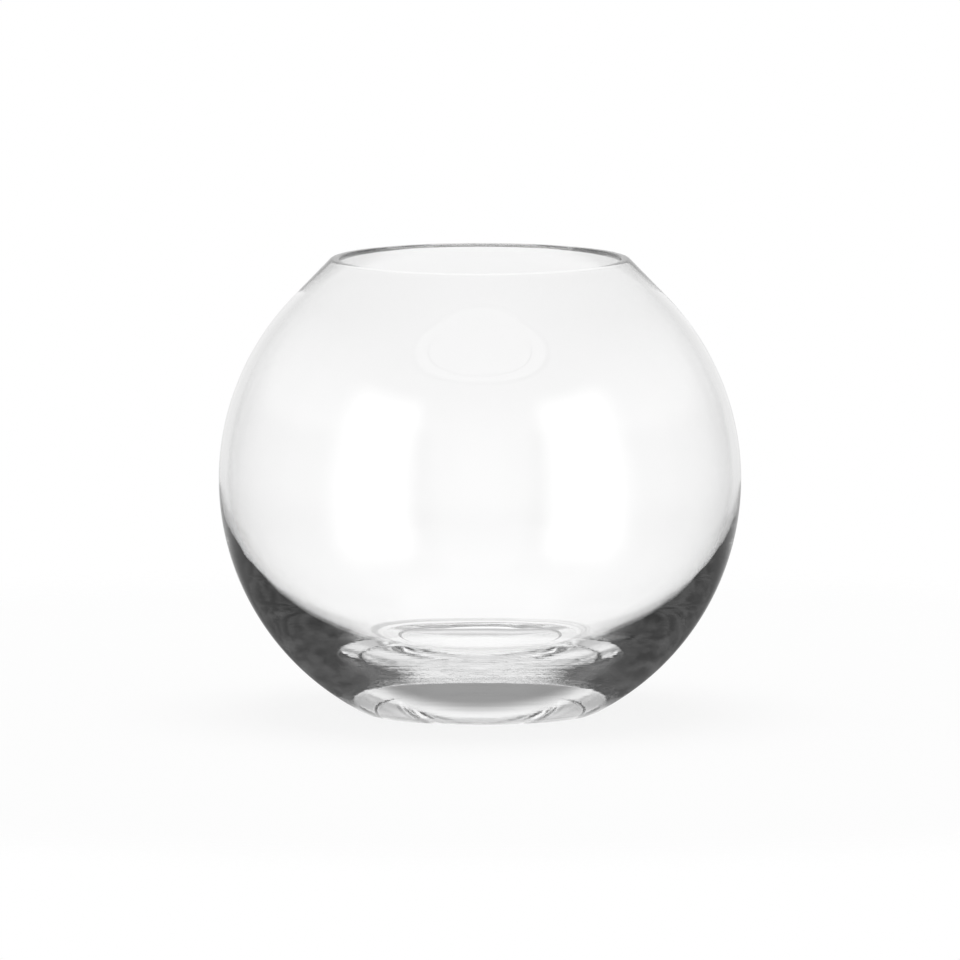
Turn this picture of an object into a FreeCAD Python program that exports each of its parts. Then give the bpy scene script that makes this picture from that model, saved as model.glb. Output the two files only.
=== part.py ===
# Rose bowl vase: one piece of thick clear glass, a ball cut flat at the foot and at the mouth.
# Millimetres. The origin is the middle of the foot on the table, and +Z goes up through the mouth.
import FreeCAD
import Part

import math
import os

# Outside
bowl_diameter = 150.0  # across the widest part of the ball
foot_diameter = 66.6  # where the ball would meet the table
mouth_diameter = 85.6  # outside, across the top of the rim
shoulder_angle = 44.0  # degrees above the equator, where the ball runs on as a straight cone

# Inside
wall = 2.35  # even from the mouth down to the equator
floor_height = 7.8  # from the table to the lowest point of the inside
flank_radius = 54.1  # arc of the inside from the equator down to where the floor's arc takes over

# Underside
ring_width = 6.0  # the level ring that the vase stands on, before its outer edge is bevelled
punt_step = 0.6  # height and width of the sloping edge inside the ring
punt_rise = 0.7  # how far the hollow domes up inside that edge

# Bevels, each measured along the two surfaces that it joins
foot_bevel = 0.5
rim_outer_bevel = 0.4
rim_inner_bevel = 0.6

# Sizes that follow from these
ball_radius = bowl_diameter / 2
inside_radius = ball_radius - wall
foot_radius = foot_diameter / 2
punt_radius = foot_radius - ring_width
dome_radius = punt_radius - punt_step
mouth_radius = mouth_diameter / 2
belly_height = math.sqrt(ball_radius**2 - foot_radius**2)
shoulder = math.radians(shoulder_angle)
cone_slope = 1 / math.tan(shoulder)  # rise of the cone for each step towards the axis
shoulder_to_rim = (ball_radius * math.cos(shoulder) - mouth_radius) * cone_slope
bowl_height = belly_height + ball_radius * math.sin(shoulder) + shoulder_to_rim
rim_width = wall / math.cos(shoulder)  # the cone's wall, cut level


def point(radius, height):
    """A point of the half section, which lies in the XZ plane."""
    return FreeCAD.Vector(radius, 0, height)


def on_arc(centre, radius, angle):
    """A point on an arc, at an angle in radians above the level."""
    return centre + point(radius * math.cos(angle), radius * math.sin(angle))


def arc(centre, radius, start, end):
    """The edge of an arc between two angles in radians above the level."""
    middle = on_arc(centre, radius, (start + end) / 2)
    return Part.Arc(on_arc(centre, radius, start), middle, on_arc(centre, radius, end)).toShape()


def line(start, end):
    return Part.LineSegment(start, end).toShape()


def down_cone(rim_edge, step):
    """The point that lies a step down the cone from an edge of the rim."""
    return rim_edge + point(step * math.sin(shoulder), -step * math.cos(shoulder))


def underside_edges():
    """The hollow, its sloping edge, the ring to stand on and the bevel round the foot."""
    dome_sphere = (dome_radius**2 + punt_rise**2) / (2 * punt_rise)
    dome_centre = point(0, punt_step + punt_rise - dome_sphere)
    dome_end = math.acos(dome_radius / dome_sphere)
    ring_inner = point(punt_radius, 0)
    ring_outer = point(foot_radius - foot_bevel, 0)
    return [
        arc(dome_centre, dome_sphere, math.pi / 2, dome_end),
        line(point(dome_radius, punt_step), ring_inner),
        line(ring_inner, ring_outer),
        line(ring_outer, on_arc(belly_centre, ball_radius, foot_angle)),
    ]


def outside_edges():
    """The ball from the foot to the shoulder, then the cone up to the rim's outer bevel."""
    rim_edge = point(mouth_radius, bowl_height)
    bevel_foot = down_cone(rim_edge, rim_outer_bevel)
    return [
        arc(belly_centre, ball_radius, foot_angle, shoulder),
        line(on_arc(belly_centre, ball_radius, shoulder), bevel_foot),
        line(bevel_foot, rim_edge - point(rim_outer_bevel, 0)),
    ]


def rim_edges():
    """The flat top of the rim and the bevel down to its inside."""
    outer = point(mouth_radius - rim_outer_bevel, bowl_height)
    rim_edge = point(mouth_radius - rim_width, bowl_height)
    inner = rim_edge + point(rim_inner_bevel, 0)
    bevel_foot = down_cone(rim_edge, rim_inner_bevel)
    shoulder_point = on_arc(belly_centre, inside_radius, shoulder)
    return [line(outer, inner), line(inner, bevel_foot), line(bevel_foot, shoulder_point)]


def inside_edges():
    """The upper ball, then the flank and the floor, each tangent to the one before."""
    flank_centre = belly_centre + point(inside_radius - flank_radius, 0)
    flank_above_floor = flank_centre.z - floor_height
    floor_radius = (flank_centre.x**2 + flank_above_floor**2 - flank_radius**2) / (
        2 * (flank_above_floor - flank_radius)
    )
    floor_centre = point(0, floor_height + floor_radius)
    flank_end = math.atan2(floor_centre.z - flank_centre.z, flank_centre.x)
    return [
        arc(belly_centre, inside_radius, shoulder, 0),
        arc(flank_centre, flank_radius, 0, -flank_end),
        arc(floor_centre, floor_radius, -flank_end, -math.pi / 2),
    ]


belly_centre = point(0, belly_height)
# The ball starts where the foot's bevel ends, one bevel length up the ball from the table.
foot_angle = -math.acos(foot_radius / ball_radius) + foot_bevel / ball_radius

edges = underside_edges() + outside_edges() + rim_edges() + inside_edges()
closing = line(point(0, floor_height), point(0, punt_step + punt_rise))
section = Part.Face(Part.Wire(edges + [closing]))
bowl = section.revolve(point(0, 0), FreeCAD.Vector(0, 0, 1), 360)

os.makedirs("parts", exist_ok=True)
bowl.exportStep("parts/glass_bowl.step")
print("bowl height", round(bowl_height, 3), "belly height", round(belly_height, 3))
print("rim width", round(rim_width, 3), "box", bowl.BoundBox)
print("valid", bowl.isValid(), "solids", len(bowl.Solids), "volume", round(bowl.Volume))
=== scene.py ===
import math

import bmesh
import bpy
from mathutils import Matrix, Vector


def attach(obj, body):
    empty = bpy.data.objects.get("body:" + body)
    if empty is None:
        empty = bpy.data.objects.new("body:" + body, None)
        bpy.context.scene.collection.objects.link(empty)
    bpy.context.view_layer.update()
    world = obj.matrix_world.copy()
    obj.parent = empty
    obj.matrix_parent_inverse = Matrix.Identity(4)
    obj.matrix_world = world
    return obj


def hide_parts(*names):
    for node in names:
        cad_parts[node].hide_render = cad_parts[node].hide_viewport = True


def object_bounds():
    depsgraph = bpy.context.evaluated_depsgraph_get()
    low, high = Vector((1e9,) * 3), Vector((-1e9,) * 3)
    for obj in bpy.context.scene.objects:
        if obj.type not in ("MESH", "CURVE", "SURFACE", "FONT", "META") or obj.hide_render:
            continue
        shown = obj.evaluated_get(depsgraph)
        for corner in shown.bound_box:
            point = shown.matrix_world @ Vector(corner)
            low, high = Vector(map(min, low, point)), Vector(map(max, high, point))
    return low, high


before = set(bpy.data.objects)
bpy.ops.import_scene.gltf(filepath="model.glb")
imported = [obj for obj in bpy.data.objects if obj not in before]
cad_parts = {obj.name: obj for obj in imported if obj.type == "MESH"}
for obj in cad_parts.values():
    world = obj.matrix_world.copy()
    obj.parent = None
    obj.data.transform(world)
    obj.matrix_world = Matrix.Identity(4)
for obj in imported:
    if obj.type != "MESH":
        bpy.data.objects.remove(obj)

cad_low, cad_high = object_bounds()

# Sizes in metres. The box of the solid gives the ball and the height, and the others are the sizes
# of the solid too, with rounded edges in place of its bevels.
ball_radius = (cad_high.x - cad_low.x) / 2
bowl_height = cad_high.z
wall = 0.00235
foot_radius = 0.0333
shoulder_angle = 44  # degrees above the equator, where the ball runs on as a cone
floor_height = 0.0078
flank_radius = 0.0541
ring_width = 0.0060
punt_step = 0.0006
punt_rise = 0.0007
punt_edge_radius = 0.0014
foot_edge_radius = 0.0026
rim_outer_radius = 0.0015
rim_inner_radius = 0.0006

# How fine the mesh is: points round the bowl, and steps along each arc of the section
turns = 272
dome_steps = 18
punt_edge_steps = 8
foot_edge_steps = 8
ball_steps = 132
rim_outer_steps = 6
rim_inner_steps = 12
upper_steps = 52
flank_steps = 72
floor_steps = 42
on_axis = 1e-7  # a point nearer to the axis than this lies on it
sharp_angle = 24  # degrees between two faces, from which their edge stays sharp

# Sizes that follow from these
shoulder = math.radians(shoulder_angle)
belly_height = math.sqrt(ball_radius**2 - foot_radius**2)
inside_radius = ball_radius - wall
cone_rise = bowl_height - belly_height - ball_radius * math.sin(shoulder)
mouth_radius = ball_radius * math.cos(shoulder) - cone_rise * math.tan(shoulder)
rim_width = wall / math.cos(shoulder)
punt_edge_middle = foot_radius - ring_width - punt_step / 2


def arc(centre, radius, start, end, count):
    """Points of an arc in the half section, angles in degrees above the level."""
    steps = [math.radians(start + (end - start) * i / count) for i in range(count + 1)]
    return [(centre[0] + radius * math.cos(a), centre[1] + radius * math.sin(a)) for a in steps]


def underside():
    """The hollow of the punt and its softly rounded edge, from the axis out to the standing ring."""
    turn = math.acos(1 - punt_step / 2 / punt_edge_radius)
    lean = math.degrees(turn)
    half_width = punt_edge_radius * math.sin(turn)
    dome_radius = punt_edge_middle - half_width
    sphere = (dome_radius**2 + punt_rise**2) / (2 * punt_rise)
    dome_end = math.degrees(math.acos(dome_radius / sphere))
    dome = arc((0, punt_step + punt_rise - sphere), sphere, 90, dome_end, dome_steps)
    upper_centre = (dome_radius, punt_step - punt_edge_radius)
    upper = arc(upper_centre, punt_edge_radius, 90, 90 - lean, punt_edge_steps)
    lower_centre = (punt_edge_middle + half_width, punt_edge_radius)
    lower = arc(lower_centre, punt_edge_radius, -90 - lean, -90, punt_edge_steps)
    return dome + upper[1:] + lower[1:]


def outside():
    """The edge of the foot and the ball up to the shoulder."""
    drop = belly_height - foot_edge_radius
    reach = math.sqrt((ball_radius - foot_edge_radius) ** 2 - drop**2)
    lean = math.degrees(math.atan2(-drop, reach))
    edge = arc((reach, foot_edge_radius), foot_edge_radius, -90, lean, foot_edge_steps)
    ball = arc((0, belly_height), ball_radius, lean, shoulder_angle, ball_steps)
    return edge + ball[1:]


def rim():
    """The flat top of the rim, with its two softened edges."""
    outer_inset = rim_outer_radius * math.tan(math.radians(90 - shoulder_angle) / 2)
    outer_centre = (mouth_radius - outer_inset, bowl_height - rim_outer_radius)
    outer = arc(outer_centre, rim_outer_radius, shoulder_angle, 90, rim_outer_steps)
    inner_inset = rim_inner_radius * math.tan(math.radians(90 + shoulder_angle) / 2)
    inner_centre = (mouth_radius - rim_width + inner_inset, bowl_height - rim_inner_radius)
    inner = arc(inner_centre, rim_inner_radius, 90, 180 + shoulder_angle, rim_inner_steps)
    return outer + inner


def inside():
    """The inside of the ball, the flank and the floor, each tangent to the one before."""
    flank_centre = inside_radius - flank_radius
    rise = belly_height - floor_height
    floor_radius = (flank_centre**2 + rise**2 - flank_radius**2) / (2 * (rise - flank_radius))
    floor_centre = floor_height + floor_radius
    flank_end = math.degrees(math.atan2(floor_centre - belly_height, flank_centre))
    upper = arc((0, belly_height), inside_radius, shoulder_angle, 0, upper_steps)
    flank = arc((flank_centre, belly_height), flank_radius, 0, -flank_end, flank_steps)
    floor = arc((0, floor_centre), floor_radius, -flank_end, -90, floor_steps)
    return upper + flank[1:] + floor[1:-1] + [(0, floor_height)]


def add_object(name, data):
    obj = bpy.data.objects.new(name, data)
    bpy.context.scene.collection.objects.link(obj)
    return obj


def lathe(name, section, count):
    """Turns a section that starts and ends on the axis into a closed mesh."""
    mesh = bmesh.new()
    rings = []
    for radius, height in section:
        if radius < on_axis:
            rings.append([mesh.verts.new((0, 0, height))])
            continue
        ring = []
        for i in range(count):
            a = math.tau * i / count
            ring.append(mesh.verts.new((radius * math.cos(a), radius * math.sin(a), height)))
        rings.append(ring)
    for low, high in zip(rings, rings[1:]):
        for i in range(count):
            j = (i + 1) % count
            corners = [low[i % len(low)], low[j % len(low)], high[j % len(high)], high[i % len(high)]]
            # Next to the axis two of the corners are the same point
            unique = list(dict.fromkeys(corners))
            mesh.faces.new(unique)
    bmesh.ops.recalc_face_normals(mesh, faces=mesh.faces)
    data = bpy.data.meshes.new(name)
    mesh.to_mesh(data)
    mesh.free()
    data.shade_smooth()
    return add_object(name, data)


def sine(degrees):
    return math.sin(math.radians(degrees))


class Nodes:
    """Small helper that adds the nodes of a material or a world and joins them."""

    def __init__(self, owner):
        owner.use_nodes = True
        self.tree = owner.node_tree
        self.tree.nodes.clear()

    def add(self, kind, **settings):
        node = self.tree.nodes.new(kind)
        for key, value in settings.items():
            setattr(node, key, value)
        return node

    def put(self, value, socket):
        """Sets a socket to a number or a tuple, or links another socket to it."""
        if isinstance(value, (int, float, tuple)):
            socket.default_value = value
        else:
            self.tree.links.new(value, socket)

    def put_all(self, node, values):
        """Fills the sockets of a node from the first one on."""
        for value, socket in zip(values, node.inputs):
            self.put(value, socket)
        return node.outputs[0]

    def fill(self, node, **values):
        """Fills sockets by name, with an underscore for each space."""
        for key, value in values.items():
            self.put(value, node.inputs[key.replace("_", " ")])
        return node.outputs[0]

    def math(self, operation, *values):
        return self.put_all(self.add("ShaderNodeMath", operation=operation), values)

    def times(self, first, *others):
        for other in others:
            first = self.math("MULTIPLY", first, other)
        return first

    def length(self, x, y):
        return self.math("SQRT", self.math("ADD", self.times(x, x), self.times(y, y)))

    def equals(self, value, whole):
        """1 where the value is this whole number, else 0."""
        return self.math("COMPARE", value, whole, 0.5)

    def step(self, value, start, end, low=0.0, high=1.0):
        """Goes smoothly from low at start to high at end."""
        node = self.add("ShaderNodeMapRange", interpolation_type="SMOOTHSTEP")
        return self.fill(node, Value=value, From_Min=start, From_Max=end, To_Min=low, To_Max=high)

    def by_angle(self, value, start, end, low=0.0, high=1.0):
        """A step between two angles in degrees, of a value that is the sine of an angle."""
        return self.step(value, sine(start), sine(end), low, high)

    def noise(self, place, scale, detail):
        return self.fill(self.add("ShaderNodeTexNoise"), Vector=place, Scale=scale, Detail=detail)

    def mix(self, share, first, second):
        """A number between two others."""
        node = self.add("ShaderNodeMix", data_type="FLOAT")
        return self.fill(node, Factor=share, A=first, B=second)

    def cover(self, share, first, second):
        """Two shaders in one, more of the second where the share is higher."""
        return self.put_all(self.add("ShaderNodeMixShader"), (share, first, second))

    def split(self, vector):
        """The x, y and z of a vector."""
        node = self.add("ShaderNodeSeparateXYZ")
        self.put(vector, node.inputs[0])
        return tuple(node.outputs)

    def show(self, kind, shader):
        """Joins a shader to the output of the material or the world."""
        self.put(shader, self.add(kind).inputs["Surface"])


section = underside() + outside() + rim() + inside()
bowl = lathe("rose_bowl", section, turns)
bowl.data.set_sharp_from_angle(angle=math.radians(sharp_angle))
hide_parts("glass_bowl")
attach(bowl, "root")

# Glass: clear and polished, slightly wavy, scuffed round the hollow and a streaky darker grey at the
# edge of the foot.
# A pair of places says where something starts and where it is fully there, and a pair of strengths
# says how strong it is at the start and at the end.
glass_grey = 0.99
glass_index = 1.5
waves_per_metre = 45
wave_height = 0.00005
streaks_per_metre = 600
streaks_along_per_metre = 14
streak_height = 0.00002
streak_top = (0.025, 0.0075)
scuffs_per_metre = 900
scuff_contrast = (0.4, 0.65)
scuff_roughness = (0.08, 0.22)
foot_scuff_top = (foot_edge_radius, foot_edge_radius * 0.6)
foot_scuff_inner = (foot_radius * 0.93, foot_radius * 0.97)
punt_scuff_top = (0.0012, 0.0010)
punt_scuff_width = (0.0018, 0.0008)
edge_darkening_bottom = (foot_edge_radius * 0.15, foot_edge_radius * 0.35)
edge_darkening_contrast = (0.4, 0.6)
edge_darkening_strength = (0.15, 0.55)

glass = bpy.data.materials.new("clear_glass")
n = Nodes(glass)
place = n.add("ShaderNodeTexCoord").outputs["Object"]
x, y, z = n.split(place)
from_axis = n.length(x, y)

# Long soft waves over the whole bowl, and fine streaks round the axis that the mould left near the foot
waves = n.noise(place, waves_per_metre, 2)
stretched = n.fill(
    n.add("ShaderNodeCombineXYZ"),
    X=n.times(x, streaks_along_per_metre),
    Y=n.times(y, streaks_along_per_metre),
    Z=n.times(n.math("ADD", from_axis, z), streaks_per_metre),
)
streaks = n.noise(stretched, 1, 3)
low_streaks = n.times(streaks, n.step(z, *streak_top), streak_height)
height = n.math("ADD", n.times(waves, wave_height), low_streaks)
normal = n.fill(n.add("ShaderNodeBump"), Strength=1.0, Distance=1.0, Height=height)

# Scuffs, and a streaky darker grey on the edge of the foot
at_foot = n.times(n.step(z, *foot_scuff_top), n.step(from_axis, *foot_scuff_inner))
off_punt_edge = n.math("ABSOLUTE", n.math("SUBTRACT", from_axis, punt_edge_middle))
at_punt = n.times(n.step(z, *punt_scuff_top), n.step(off_punt_edge, *punt_scuff_width))
scuffs = n.step(n.noise(place, scuffs_per_metre, 2), *scuff_contrast, *scuff_roughness)
roughness = n.times(scuffs, n.math("MAXIMUM", at_foot, at_punt))
# Darker grey in streaks on the rounded outer edge of the foot, from a little above the table up to the
# top of the edge
edge_darkening = n.times(at_foot, n.step(z, *edge_darkening_bottom), n.step(streaks, *edge_darkening_contrast, *edge_darkening_strength))
grey = n.math("SUBTRACT", glass_grey, edge_darkening)
colour = n.fill(n.add("ShaderNodeCombineColor"), Red=grey, Green=grey, Blue=grey)

shader = n.add("ShaderNodeBsdfPrincipled")
n.fill(shader, Base_Color=colour, Roughness=roughness, Normal=normal)
n.fill(shader, IOR=glass_index, Transmission_Weight=1.0)
n.show("ShaderNodeOutputMaterial", shader.outputs[0])
bowl.data.materials.append(glass)

# Studio: how bright the surroundings are in each direction. Heights are angles in degrees above the
# level, and sides are angles away from the line that runs from front to back, where -1 is straight in
# front and 1 straight behind. The depth of a ray is one more than the number of surfaces that it met:
# 2 is a first reflection, 3 is one wall of the bowl, 5 is both walls, and more than that was caught
# inside the glass.
first_depth = 2
mouth_depth = (2.2, 3.8)
caught_depth = (5.2, 7.2)
base_depth = (8.2, 9.4)
deep_depth = (10, 13)

# Seen straight through the bowl: white, darker high up, with a soft shade beside the middle, and a
# little dimmer through the mouth, where a ray meets only one wall
ground_heights = (-24, -6)
ground_light = (1.11, 1.02)
shade_sides = (5, 18)
shade_heights = (-24, -8)
shade_light = 0.84
shade_outer_sides = (30, 55)
shade_outer_share = (1.0, 0.5)
zenith_heights = (0, 75)
zenith_light = 0.1
mouth_light = (0.8, 1.0)

# Caught in the glass: one grey that the walls of the bowl send back, lamps and streaks that only the
# thick base shows, dark spotted panels left and right, and for the deepest rays a dark front
returned_light = 0.6
low_heights = (4, 18)
low_light = (1.0, 0.5)
lamp_heights = (30, 44)
lamp_front_to_back = (-0.5, 0.5)
lamp_light = (0.45, 0.95)
top_heights = (52, 62)
top_light = 1.25
streak_stretch = (2, 2, 14)
streak_contrast = (0.38, 0.62)
streak_light = (0.8, 1.0)
panel_sides = (18, 27)
panel_bottom = (-24, -16)
panel_top = (45, 56)
panel_spots = 6
panel_contrast = (0.35, 0.65)
panel_light = (0.03, 0.09)
front_range = (-0.5, -0.8)
front_top = (42, 58)
front_light = 0.06

# In the first reflection: two tall soft lights in front, left and right, in a grey room
box_inner_sides = (25, 38)
box_outer_sides = (60, 82)
box_bottom = (-36, -18)
box_top = (32, 43)
box_front = (0.0, -0.2)
box_light = 3.4
room_bottom = (-16, -3)
room_light = (0.15, 0.85)
room_top = (20, 75)
room_top_light = 0.15

# What lights the table, and the smallest length to divide by
plain_light = 0.5
least_length = 0.001

world = bpy.data.worlds.new("studio")
bpy.context.scene.world = world
n = Nodes(world)
direction = n.add("ShaderNodeTexCoord").outputs["Generated"]
x, y, z = n.split(direction)
level_length = n.math("MAXIMUM", n.length(x, y), least_length)
ahead = n.math("DIVIDE", y, level_length)
sideways = n.math("ABSOLUTE", n.math("DIVIDE", x, level_length))
path = n.add("ShaderNodeLightPath")
depth = path.outputs["Ray Depth"]

shade = n.times(
    n.by_angle(sideways, *shade_sides),
    n.by_angle(z, *shade_heights),
    n.by_angle(sideways, *shade_outer_sides, *shade_outer_share),
)
passing = n.mix(shade, n.by_angle(z, *ground_heights, *ground_light), shade_light)
passing = n.mix(n.by_angle(z, *zenith_heights), passing, zenith_light)
passing = n.times(passing, n.step(depth, *mouth_depth, *mouth_light))

lamps = n.step(ahead, *lamp_front_to_back, *lamp_light)
lamps = n.mix(n.by_angle(z, *top_heights), lamps, top_light)
caught = n.mix(n.by_angle(z, *lamp_heights), n.by_angle(z, *low_heights, *low_light), lamps)
stretch = n.add("ShaderNodeVectorMath", operation="MULTIPLY")
stretched = n.put_all(stretch, (direction, streak_stretch))
caught = n.times(caught, n.step(n.noise(stretched, 1, 3), *streak_contrast, *streak_light))
caught = n.mix(n.step(depth, *base_depth), returned_light, caught)
panels = n.times(
    n.by_angle(sideways, *panel_sides),
    n.by_angle(z, *panel_bottom),
    n.by_angle(z, *panel_top, 1.0, 0.0),
)
spots = n.noise(direction, panel_spots, 2)
caught = n.mix(panels, caught, n.step(spots, *panel_contrast, *panel_light))
front = n.times(
    n.step(ahead, *front_range),
    n.by_angle(z, *front_top, 1.0, 0.0),
    n.step(depth, *deep_depth),
)
caught = n.mix(front, caught, front_light)
seen = n.mix(n.step(depth, *caught_depth), passing, caught)

boxes = n.times(
    n.by_angle(sideways, *box_inner_sides),
    n.by_angle(sideways, *box_outer_sides, 1.0, 0.0),
    n.by_angle(z, *box_bottom),
    n.by_angle(z, *box_top, 1.0, 0.0),
    n.step(ahead, *box_front),
)
room = n.mix(n.by_angle(z, *room_top), n.by_angle(z, *room_bottom, *room_light), room_top_light)
mirrored = n.mix(n.equals(depth, first_depth), returned_light, n.mix(boxes, room, box_light))

strength = n.mix(path.outputs["Is Glossy Ray"], plain_light, mirrored)
strength = n.mix(path.outputs["Is Transmission Ray"], strength, seen)
strength = n.mix(path.outputs["Is Camera Ray"], strength, 1.0)
background = n.fill(n.add("ShaderNodeBackground"), Color=(1, 1, 1, 1), Strength=strength)
n.show("ShaderNodeOutputWorld", background)

# Table: white, with a soft shadow. It fades out at its edge, and for light in the glass it ends just
# beyond the foot. Its front under the foot has a painted shadow, a darker glow seen only by light that
# the base mirrored once. At the table the depth of such a ray is 3: two surfaces of the glass and the
# mirror between them.
table_radius = 0.37
table_points = 96
table_drop = 0.00005
table_grey = 0.9
table_glow = 1.1
# Painted shadow on the front of the table under the foot: its glow, and where it is full and where it
# has faded out
painted_shadow_glow = 0.33
painted_shadow_front = (foot_radius * -0.68, foot_radius * -0.25)
mirrored_depth = 3
white_share = 0.88
edge_fade = (table_radius * 0.75, table_radius * 0.98)
foot_fade = (foot_radius * 0.98, foot_radius * 1.2)

mesh = bmesh.new()
bmesh.ops.create_circle(mesh, cap_ends=True, segments=table_points, radius=table_radius)
table_mesh = bpy.data.meshes.new("table")
mesh.to_mesh(table_mesh)
mesh.free()
table = add_object("table", table_mesh)
table.location.z = -table_drop

paint = bpy.data.materials.new("table_white")
n = Nodes(paint)
x, y, z = n.split(n.add("ShaderNodeTexCoord").outputs["Object"])
from_axis = n.length(x, y)
path = n.add("ShaderNodeLightPath")
from_camera = path.outputs["Is Camera Ray"]
from_glass = n.math("MAXIMUM", path.outputs["Is Glossy Ray"], path.outputs["Is Transmission Ray"])

# Painted shadow: the table glows darker at its front under the foot, for rays that the base mirrored
# once
painted_shadow = n.step(y, *painted_shadow_front, painted_shadow_glow, table_glow)
glow = n.mix(n.equals(path.outputs["Ray Depth"], mirrored_depth), table_glow, painted_shadow)
glow = n.mix(from_camera, glow, 1.0)
white = n.fill(n.add("ShaderNodeEmission"), Strength=glow)
lit = n.fill(n.add("ShaderNodeBsdfDiffuse"), Color=(table_grey, table_grey, table_grey, 1))
surface = n.cover(n.math("MAXIMUM", from_glass, n.times(from_camera, white_share)), lit, white)
clear = n.add("ShaderNodeBsdfTransparent").outputs[0]
beyond_foot = n.times(from_glass, n.step(from_axis, *foot_fade))
gone = n.math("MAXIMUM", n.step(from_axis, *edge_fade), beyond_foot)
n.show("ShaderNodeOutputMaterial", n.cover(gone, surface, clear))
table_mesh.materials.append(paint)

# Camera. It sees the rim from 6 degrees above, and the middle of the ball, which lies lower, from a
# little more. The lens makes the ball as large as it is in the photograph.
photo_pixels = 960
ball_pixels = 261.2  # radius of the ball
shift_pixels = -1.2
rim_view_angle = 6.0
rim_above_middle = 0.0633
distance = 6.65
sensor_width = 36
nearest = 0.1
farthest = 100

camera_data = bpy.data.cameras.new("camera")
camera = add_object("camera", camera_data)
bpy.context.scene.camera = camera
tilt = math.radians(rim_view_angle) + math.atan(rim_above_middle / distance)
back = Vector((0, -math.cos(tilt), math.sin(tilt)))
camera.location = Vector((0, 0, belly_height)) + back * distance
camera.rotation_mode = "QUATERNION"
camera.rotation_quaternion = (-back).to_track_quat("-Z", "Y")
# The outline of a ball looks a little larger than a disc of its radius in its middle
outline_radius = ball_radius / math.sqrt(1 - (ball_radius / distance) ** 2)
camera_data.sensor_width = sensor_width
camera_data.lens = sensor_width / photo_pixels * distance * ball_pixels / outline_radius
camera_data.shift_y = shift_pixels / photo_pixels
camera_data.clip_start = nearest
camera_data.clip_end = farthest

# Light: one large soft lamp overhead, which doesn't show in the glass
lamp_data = bpy.data.lights.new("overhead", "AREA")
lamp_data.shape = "DISK"
lamp_data.size = 1.2
lamp_data.energy = 14
lamp = add_object("overhead", lamp_data)
lamp.location = (0, 0.2, 1.6)
lamp.visible_glossy = False
lamp.visible_transmission = False

# Light goes round in the thick base many times before it comes out
bounces = 64
scene = bpy.context.scene
scene.view_settings.view_transform = "Standard"
scene.cycles.max_bounces = bounces
scene.cycles.glossy_bounces = bounces
scene.cycles.transmission_bounces = bounces
